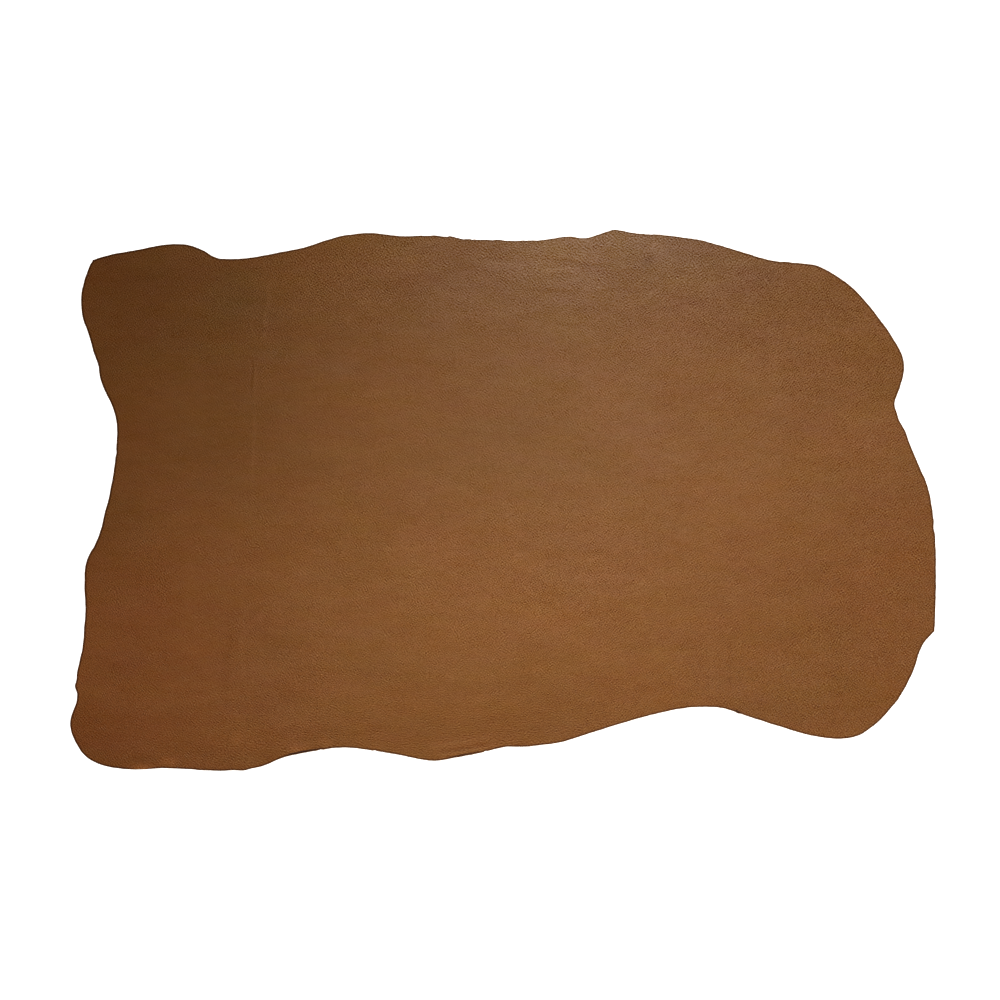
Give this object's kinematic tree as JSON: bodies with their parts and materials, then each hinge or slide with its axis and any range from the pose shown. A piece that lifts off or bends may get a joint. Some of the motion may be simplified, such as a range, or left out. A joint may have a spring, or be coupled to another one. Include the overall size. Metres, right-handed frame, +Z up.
{
  "type": "leather hide",
  "caption": "Flat tanned leather hide with an uneven natural rim, grain side up, lying on a surface.",
  "frame": {"origin": "middle of the hide's box, on the surface it lies on", "axes": "+X along the hide towards its broad end, +Y across it, +Z up out of the grain side"},
  "size_m": [1.732, 1.0819, 0.0063],
  "materials": {
    "leather": "semi-matt tan brown finished grain with a fine pebble, raw trimmed edge and napped flesh side"
  },
  "bodies": {
    "root": {"hide": "leather"}
  },
  "joints": []
}
